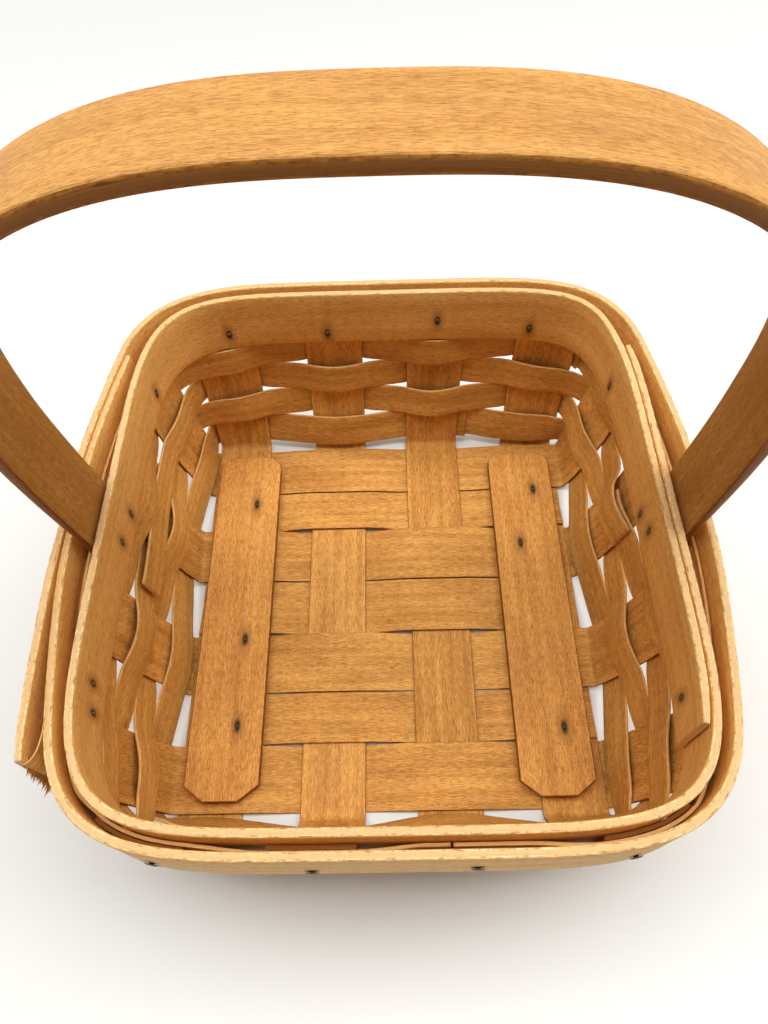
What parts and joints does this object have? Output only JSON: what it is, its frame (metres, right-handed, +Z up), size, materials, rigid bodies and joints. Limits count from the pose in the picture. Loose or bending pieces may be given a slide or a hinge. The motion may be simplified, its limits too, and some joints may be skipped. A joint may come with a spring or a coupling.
{
  "type": "open splint basket with a fixed bent-wood handle",
  "caption": "Small square open basket of woven wood splints with two bent rim bands, cleats across a flat bottom and a fixed arched handle, for carrying small things.",
  "frame": {"origin": "on the floor, under the middle of the whole basket's bounding box", "axes": "+Z up; +X to the right, along the handle's span; +Y to the back; -Y is the front that the picture is taken from"},
  "size_m": [0.1638, 0.1636, 0.1697],
  "materials": {
    "splint": "satin",
    "band": "satin",
    "handle": "satin",
    "cleat": "satin",
    "tack": "satin"
  },
  "bodies": {
    "root": {"stake_front_back_1": "splint", "stake_front_back_2": "splint", "stake_front_back_3": "splint", "stake_front_back_4": "splint", "stake_left_right_1": "splint", "stake_left_right_2": "splint", "stake_left_right_3": "splint", "stake_left_right_4": "splint", "filler_1": "splint", "filler_2": "splint", "filler_3": "splint", "weaver_1": "splint", "weaver_2": "splint", "weaver_3_back": "splint", "weaver_3_front": "splint", "weaver_4": "splint", "weaver_rim": "splint", "rim_band_inner": "band", "rim_band_outer": "band", "handle": "handle", "cleat_left": "cleat", "cleat_right": "cleat", "tack_rim_back_1": "tack", "tack_rim_back_2": "tack", "tack_rim_back_3": "tack", "tack_rim_back_4": "tack", "tack_rim_front_1": "tack", "tack_rim_front_2": "tack", "tack_rim_front_3": "tack", "tack_rim_front_4": "tack", "tack_rim_left_1": "tack", "tack_rim_left_2": "tack", "tack_rim_left_3": "tack", "tack_rim_left_4": "tack", "tack_rim_left_5": "tack", "tack_rim_right_1": "tack", "tack_rim_right_2": "tack", "tack_rim_right_3": "tack", "tack_rim_right_4": "tack", "tack_cleat_left_1": "tack", "tack_cleat_left_2": "tack", "tack_cleat_left_3": "tack", "tack_cleat_right_1": "tack", "tack_cleat_right_2": "tack", "tack_cleat_right_3": "tack"}
  },
  "joints": []
}
